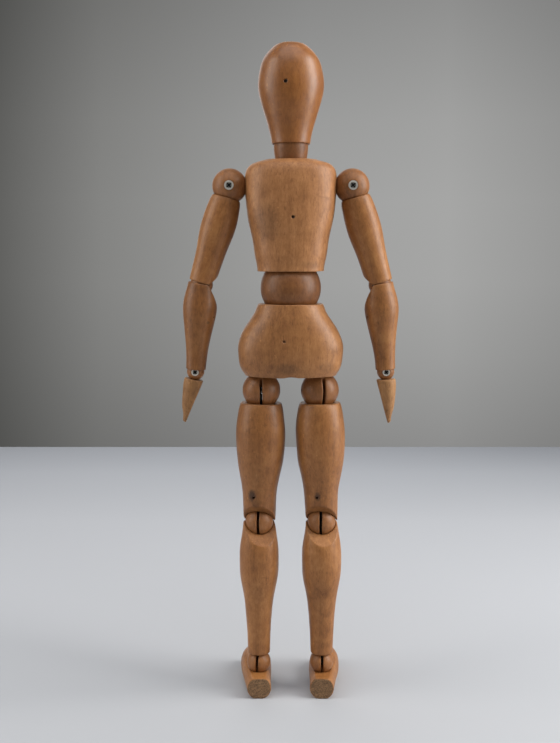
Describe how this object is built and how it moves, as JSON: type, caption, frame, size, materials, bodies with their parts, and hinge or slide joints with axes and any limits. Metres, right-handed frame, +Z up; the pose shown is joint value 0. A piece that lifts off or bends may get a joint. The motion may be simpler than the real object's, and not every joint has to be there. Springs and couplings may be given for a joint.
{
  "type": "artist mannequin",
  "caption": "Jointed wooden artist's figure: turned limbs and slotted balls held by hidden pull springs and cross pins, standing on flat-soled feet.",
  "frame": {"origin": "on the floor, under the middle of the figure's overall box", "axes": "+Z up, -Y the way the figure faces, +X its left"},
  "size_m": [0.0996, 0.0473, 0.3],
  "materials": {
    "head_wood": "aged varnished beech, satin",
    "chest_wood": "aged varnished beech, satin",
    "hip_wood": "aged varnished beech, satin",
    "limb_wood": "aged varnished beech, satin",
    "ball_wood": "aged varnished beech, satin",
    "hand_wood": "pale worn wood, matt",
    "pin_steel": "plain wire nail",
    "spring_steel": "drawn spring wire",
    "screw_steel": "cross-slotted screw, bright"
  },
  "bodies": {
    "pelvis": {"pelvis": "hip_wood", "pelvis_rod": "pin_steel"},
    "waist_ball": {"waist_ball": "ball_wood", "waist_pin": "pin_steel", "waist_hook": "spring_steel"},
    "torso_link": {"torso_spring": "spring_steel"},
    "chest": {"chest": "chest_wood", "shoulder_spring": "spring_steel"},
    "neck_ball": {"neck_ball": "ball_wood", "neck_pin": "pin_steel"},
    "head_link": {"head_spring": "spring_steel"},
    "head": {"head": "head_wood", "head_pin": "pin_steel"},
    "left_hip_ball": {"left_hip_ball": "ball_wood", "left_hip_pin": "pin_steel", "left_hip_hook": "spring_steel"},
    "left_thigh_link": {"left_thigh_spring": "spring_steel"},
    "left_thigh": {"left_thigh": "limb_wood"},
    "left_knee_ball": {"left_knee_ball": "ball_wood", "left_knee_pin": "pin_steel"},
    "left_shin_link": {"left_shin_spring": "spring_steel"},
    "left_shin": {"left_shin": "limb_wood"},
    "left_foot": {"left_foot": "limb_wood", "left_ankle_ball": "ball_wood", "left_ankle_pin": "pin_steel"},
    "left_shoulder_ball": {"left_shoulder_ball": "ball_wood", "left_shoulder_screw": "screw_steel"},
    "left_arm_link": {"left_upper_arm_spring": "spring_steel"},
    "left_upper_arm": {"left_upper_arm": "limb_wood"},
    "left_elbow_ball": {"left_elbow_ball": "ball_wood", "left_elbow_pin": "pin_steel"},
    "left_forearm": {"left_forearm": "limb_wood", "left_forearm_spring": "spring_steel"},
    "left_hand": {"left_hand": "hand_wood", "left_wrist_ball": "ball_wood", "left_wrist_screw": "screw_steel"},
    "right_hip_ball": {"right_hip_ball": "ball_wood", "right_hip_pin": "pin_steel", "right_hip_hook": "spring_steel"},
    "right_thigh_link": {"right_thigh_spring": "spring_steel"},
    "right_thigh": {"right_thigh": "limb_wood"},
    "right_knee_ball": {"right_knee_ball": "ball_wood", "right_knee_pin": "pin_steel"},
    "right_shin_link": {"right_shin_spring": "spring_steel"},
    "right_shin": {"right_shin": "limb_wood"},
    "right_foot": {"right_foot": "limb_wood", "right_ankle_ball": "ball_wood", "right_ankle_pin": "pin_steel"},
    "right_shoulder_ball": {"right_shoulder_ball": "ball_wood", "right_shoulder_screw": "screw_steel"},
    "right_arm_link": {"right_upper_arm_spring": "spring_steel"},
    "right_upper_arm": {"right_upper_arm": "limb_wood"},
    "right_elbow_ball": {"right_elbow_ball": "ball_wood", "right_elbow_pin": "pin_steel"},
    "right_forearm": {"right_forearm": "limb_wood", "right_forearm_spring": "spring_steel"},
    "right_hand": {"right_hand": "hand_wood", "right_wrist_ball": "ball_wood", "right_wrist_screw": "screw_steel"}
  },
  "joints": [
    {"name": "waist_turn", "type": "hinge", "parent": "pelvis", "child": "waist_ball", "pos_m": [-0.00048, 0.00815, 0.1917], "axis": [0, 0, 1], "range_deg": [-40, 40]},
    {"name": "waist_bend", "type": "hinge", "parent": "waist_ball", "child": "torso_link", "pos_m": [-0.00048, 0.00815, 0.1917], "axis": [1, 0, 0], "range_deg": [-25, 30]},
    {"name": "chest_turn", "type": "hinge", "parent": "torso_link", "child": "chest", "pos_m": [-0.00048, 0.00815, 0.1917], "axis": [0, 0, 1], "range_deg": [-35, 35], "deforming": ["torso_spring"]},
    {"name": "neck_turn", "type": "hinge", "parent": "chest", "child": "neck_ball", "pos_m": [-0.00048, 0.00815, 0.2532], "axis": [0, 0, 1], "range_deg": [-45, 45], "deforming": ["torso_spring"]},
    {"name": "head_nod", "type": "hinge", "parent": "neck_ball", "child": "head_link", "pos_m": [-0.00048, 0.00815, 0.2532], "axis": [1, 0, 0], "range_deg": [-25, 25]},
    {"name": "head_turn", "type": "hinge", "parent": "head_link", "child": "head", "pos_m": [-0.00048, 0.00815, 0.2532], "axis": [0, 0, 1], "range_deg": [-70, 70], "deforming": ["head_spring"]},
    {"name": "left_hip_turn", "type": "hinge", "parent": "pelvis", "child": "left_hip_ball", "pos_m": [0.01302, 0.00815, 0.1446], "axis": [0, 0, 1], "range_deg": [-25, 45]},
    {"name": "left_hip_swing", "type": "hinge", "parent": "left_hip_ball", "child": "left_thigh_link", "pos_m": [0.01302, 0.00815, 0.1446], "axis": [-1, 0, 0], "range_deg": [-30, 55]},
    {"name": "left_thigh_turn", "type": "hinge", "parent": "left_thigh_link", "child": "left_thigh", "pos_m": [0.01302, 0.00815, 0.1446], "axis": [-0.0177, 0, 0.9998], "range_deg": [-20, 40], "deforming": ["left_thigh_spring"]},
    {"name": "left_knee_upper", "type": "hinge", "parent": "left_thigh", "child": "left_knee_ball", "pos_m": [0.01412, 0.00815, 0.0825], "axis": [0.9945, -0.1045, 0], "range_deg": [0, 38]},
    {"name": "left_knee_lower", "type": "hinge", "parent": "left_knee_ball", "child": "left_shin_link", "pos_m": [0.01412, 0.00815, 0.0825], "axis": [0.9945, -0.1045, 0], "range_deg": [0, 38]},
    {"name": "left_shin_turn", "type": "hinge", "parent": "left_shin_link", "child": "left_shin", "pos_m": [0.01412, 0.00815, 0.0825], "axis": [-0.0058, 0, 1], "range_deg": [-10, 10], "deforming": ["left_shin_spring"]},
    {"name": "left_ankle", "type": "hinge", "parent": "left_shin", "child": "left_foot", "pos_m": [0.01452, 0.00815, 0.0137], "axis": [0.9848, -0.1736, 0], "range_deg": [-20, 40]},
    {"name": "left_shoulder_turn", "type": "hinge", "parent": "chest", "child": "left_shoulder_ball", "pos_m": [0.02712, 0.00815, 0.2374], "axis": [-1, 0, 0], "range_deg": [-45, 130], "deforming": ["shoulder_spring"]},
    {"name": "left_arm_raise", "type": "hinge", "parent": "left_shoulder_ball", "child": "left_arm_link", "pos_m": [0.02712, 0.00815, 0.2374], "axis": [0, -1, 0], "range_deg": [-5, 85]},
    {"name": "left_arm_turn", "type": "hinge", "parent": "left_arm_link", "child": "left_upper_arm", "pos_m": [0.02712, 0.00815, 0.2374], "axis": [-0.2842, 0, 0.9588], "range_deg": [-50, 60], "deforming": ["left_upper_arm_spring"]},
    {"name": "left_elbow_upper", "type": "hinge", "parent": "left_upper_arm", "child": "left_elbow_ball", "pos_m": [0.04022, 0.00815, 0.1932], "axis": [-0.6383, 0.7607, -0.118], "range_deg": [0, 42]},
    {"name": "left_elbow_lower", "type": "hinge", "parent": "left_elbow_ball", "child": "left_forearm", "pos_m": [0.04022, 0.00815, 0.1932], "axis": [-0.6383, 0.7607, -0.118], "range_deg": [0, 42]},
    {"name": "left_wrist", "type": "hinge", "parent": "left_forearm", "child": "left_hand", "pos_m": [0.04332, 0.00815, 0.1532], "axis": [0, -1, 0], "range_deg": [-30, 30]},
    {"name": "right_hip_turn", "type": "hinge", "parent": "pelvis", "child": "right_hip_ball", "pos_m": [-0.01398, 0.00815, 0.1446], "axis": [0, 0, -1], "range_deg": [-25, 45]},
    {"name": "right_hip_swing", "type": "hinge", "parent": "right_hip_ball", "child": "right_thigh_link", "pos_m": [-0.01398, 0.00815, 0.1446], "axis": [-0.9781, -0.2079, 0], "range_deg": [-30, 55]},
    {"name": "right_thigh_turn", "type": "hinge", "parent": "right_thigh_link", "child": "right_thigh", "pos_m": [-0.01398, 0.00815, 0.1446], "axis": [-0.0177, 0, -0.9998], "range_deg": [-20, 40], "deforming": ["right_thigh_spring"]},
    {"name": "right_knee_upper", "type": "hinge", "parent": "right_thigh", "child": "right_knee_ball", "pos_m": [-0.01508, 0.00815, 0.0825], "axis": [0.9945, -0.1045, 0], "range_deg": [0, 38]},
    {"name": "right_knee_lower", "type": "hinge", "parent": "right_knee_ball", "child": "right_shin_link", "pos_m": [-0.01508, 0.00815, 0.0825], "axis": [0.9945, -0.1045, 0], "range_deg": [0, 38]},
    {"name": "right_shin_turn", "type": "hinge", "parent": "right_shin_link", "child": "right_shin", "pos_m": [-0.01508, 0.00815, 0.0825], "axis": [-0.0058, 0, -1], "range_deg": [-10, 10], "deforming": ["right_shin_spring"]},
    {"name": "right_ankle", "type": "hinge", "parent": "right_shin", "child": "right_foot", "pos_m": [-0.01548, 0.00815, 0.0137], "axis": [1, 0, 0], "range_deg": [-20, 40]},
    {"name": "right_shoulder_turn", "type": "hinge", "parent": "chest", "child": "right_shoulder_ball", "pos_m": [-0.02808, 0.00815, 0.2374], "axis": [-1, 0, 0], "range_deg": [-45, 130], "deforming": ["shoulder_spring"]},
    {"name": "right_arm_raise", "type": "hinge", "parent": "right_shoulder_ball", "child": "right_arm_link", "pos_m": [-0.02808, 0.00815, 0.2374], "axis": [0, 1, 0], "range_deg": [-5, 85]},
    {"name": "right_arm_turn", "type": "hinge", "parent": "right_arm_link", "child": "right_upper_arm", "pos_m": [-0.02808, 0.00815, 0.2374], "axis": [-0.2842, 0, -0.9588], "range_deg": [-50, 60], "deforming": ["right_upper_arm_spring"]},
    {"name": "right_elbow_upper", "type": "hinge", "parent": "right_upper_arm", "child": "right_elbow_ball", "pos_m": [-0.04118, 0.00815, 0.1932], "axis": [-0.6383, -0.7607, 0.118], "range_deg": [0, 42]},
    {"name": "right_elbow_lower", "type": "hinge", "parent": "right_elbow_ball", "child": "right_forearm", "pos_m": [-0.04118, 0.00815, 0.1932], "axis": [-0.6383, -0.7607, 0.118], "range_deg": [0, 42]},
    {"name": "right_wrist", "type": "hinge", "parent": "right_forearm", "child": "right_hand", "pos_m": [-0.04428, 0.00815, 0.1532], "axis": [0, 1, 0], "range_deg": [-30, 30]}
  ],
  "couplings": [
    {"joint": "left_knee_lower", "follows": "left_knee_upper", "ratio": 1},
    {"joint": "left_elbow_lower", "follows": "left_elbow_upper", "ratio": 1},
    {"joint": "right_knee_lower", "follows": "right_knee_upper", "ratio": 1},
    {"joint": "right_elbow_lower", "follows": "right_elbow_upper", "ratio": 1}
  ]
}
